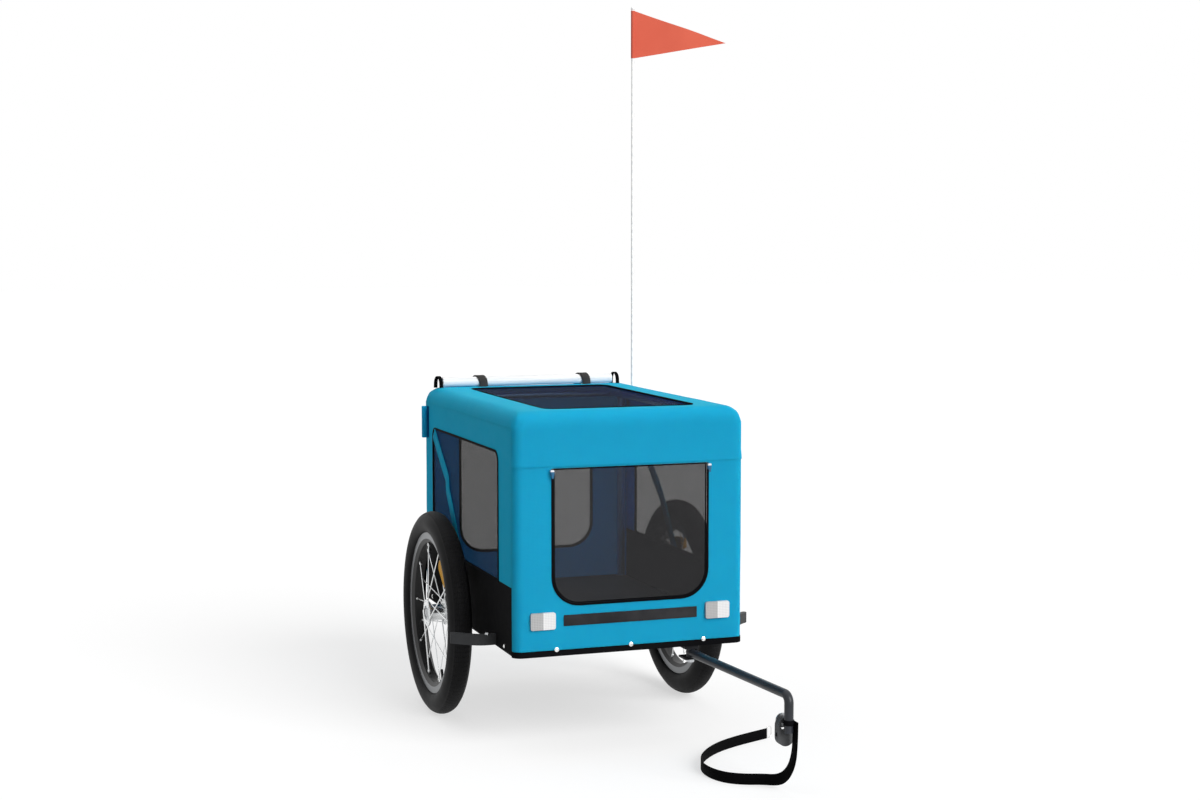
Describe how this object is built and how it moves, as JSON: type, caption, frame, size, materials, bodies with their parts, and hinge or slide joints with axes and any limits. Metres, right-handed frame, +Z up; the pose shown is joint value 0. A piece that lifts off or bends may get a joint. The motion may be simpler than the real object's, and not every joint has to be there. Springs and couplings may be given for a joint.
{
  "type": "dog bike trailer",
  "caption": "Two-wheeled dog trailer for a bicycle: blue fabric cabin with mesh windows on a tube frame, spoked wheels, side drawbar with safety strap, and a flag on a pole.",
  "frame": {"origin": "centre of the hitch pin bore in the coupling tongue, at the front of the drawbar", "axes": "+X along the hitch pin bore, across the trailer to the right as seen from the front; -Y is the front; +Z up"},
  "size_m": [0.7443, 1.0135, 1.4243],
  "materials": {
    "blue_fabric": "coated woven polyester",
    "black_fabric": "coated woven polyester and webbing",
    "navy_fabric": "coated woven polyester",
    "mesh_fabric": "open knitted mesh",
    "black_steel": "powder-coated tube",
    "board_plastic": "moulded sheet",
    "black_plastic": "moulded",
    "zinc_steel": "zinc plated",
    "snap_metal": "nickel plated",
    "zip_metal": "enamelled zinc",
    "tyre_rubber": "moulded tread",
    "rim_alloy": "satin",
    "hub_alloy": "polished",
    "spoke_steel": "bright drawn wire",
    "amber_lens": "prismatic",
    "clear_lens": "prismatic",
    "tongue_plastic": "textured",
    "strap_webbing": "flat webbing",
    "clear_film": "rolled clear film",
    "pole_fibreglass": "pultruded rod",
    "pennant_fabric": "coated nylon"
  },
  "bodies": {
    "root": {"roof_panel": "blue_fabric", "front_panel": "blue_fabric", "rear_panel": "blue_fabric", "side_panel_left": "blue_fabric", "side_panel_right": "blue_fabric", "brace_straps": "blue_fabric", "lower_panel_left": "black_fabric", "lower_panel_right": "black_fabric", "hook_strip": "black_fabric", "roll_straps": "black_fabric", "zip_tape": "black_fabric", "flag_sleeves": "navy_fabric", "roof_mesh": "mesh_fabric", "rear_mesh": "mesh_fabric", "side_meshes": "mesh_fabric", "frame_rail_front": "black_steel", "frame_rail_rear": "black_steel", "frame_rails_side": "black_steel", "cross_members": "black_steel", "axle_beam": "black_steel", "hoop_front": "black_steel", "hoop_rear": "black_steel", "roof_bars": "black_steel", "drawbar_bracket": "black_steel", "floor_board": "board_plastic", "wheel_guards": "black_plastic", "flag_socket": "black_plastic", "axle_brackets": "zinc_steel", "stub_axles": "zinc_steel", "axle_nuts": "zinc_steel", "hoop_spigots": "zinc_steel", "guard_screws": "zinc_steel", "pivot_bolt": "zinc_steel", "pivot_nut": "zinc_steel", "snap_studs": "snap_metal", "front_reflectors": "clear_lens", "rain_cover_roll": "clear_film"},
    "wheel_left": {"tyre_left": "tyre_rubber", "rim_left": "rim_alloy", "hub_left": "hub_alloy", "hub_bearings_left": "zinc_steel", "spokes_left": "spoke_steel", "spoke_reflector_left": "amber_lens"},
    "wheel_right": {"tyre_right": "tyre_rubber", "rim_right": "rim_alloy", "hub_right": "hub_alloy", "hub_bearings_right": "zinc_steel", "spokes_right": "spoke_steel", "spoke_reflector_right": "amber_lens"},
    "front_door": {"door_binding": "black_fabric", "door_mesh": "mesh_fabric"},
    "zip_slider_left": {"zip_slider_left": "zip_metal"},
    "zip_slider_right": {"zip_slider_right": "zip_metal"},
    "drawbar": {"drawbar_tube": "black_steel", "coupling_pin": "zinc_steel", "safety_strap": "strap_webbing", "strap_ring": "snap_metal"},
    "coupling": {"coupling_tongue": "tongue_plastic"},
    "flag_pole": {"flag_pole": "pole_fibreglass"},
    "pennant": {"pennant": "pennant_fabric"}
  },
  "joints": [
    {"name": "wheel_left_spin", "type": "hinge", "parent": "root", "child": "wheel_left", "pos_m": [-0.412, 0.7449, 0.098], "axis": [1, 0, 0], "continuous": true},
    {"name": "wheel_right_spin", "type": "hinge", "parent": "root", "child": "wheel_right", "pos_m": [0.108, 0.7449, 0.098], "axis": [1, 0, 0], "continuous": true},
    {"name": "drawbar_swing", "type": "hinge", "parent": "root", "child": "drawbar", "pos_m": [-0.0295, 0.3502, 0.07], "axis": [0, 0, -1], "range_deg": [0, 180]},
    {"name": "coupling_swing", "type": "hinge", "parent": "drawbar", "child": "coupling", "pos_m": [0, 0, 0.0217], "axis": [0, 1, 0], "range_deg": [-90, 90]},
    {"name": "door_lift", "type": "hinge", "parent": "root", "child": "front_door", "pos_m": [-0.152, 0.3376, 0.4257], "axis": [-1, 0, 0], "range_deg": [0, 120]},
    {"name": "zip_left_travel", "type": "slide", "parent": "root", "child": "zip_slider_left", "axis": [0, 0, -1], "range_m": [0, 0.18]},
    {"name": "zip_right_travel", "type": "slide", "parent": "root", "child": "zip_slider_right", "axis": [0, 0, -1], "range_m": [0, 0.18]},
    {"name": "flag_pole_lift", "type": "slide", "parent": "root", "child": "flag_pole", "axis": [0, 0, 1], "range_m": [0, 0.37]},
    {"name": "pennant_turn", "type": "hinge", "parent": "flag_pole", "child": "pennant", "pos_m": [0.0773, 0.9479, 1.264], "axis": [0, 0, 1], "continuous": true}
  ]
}
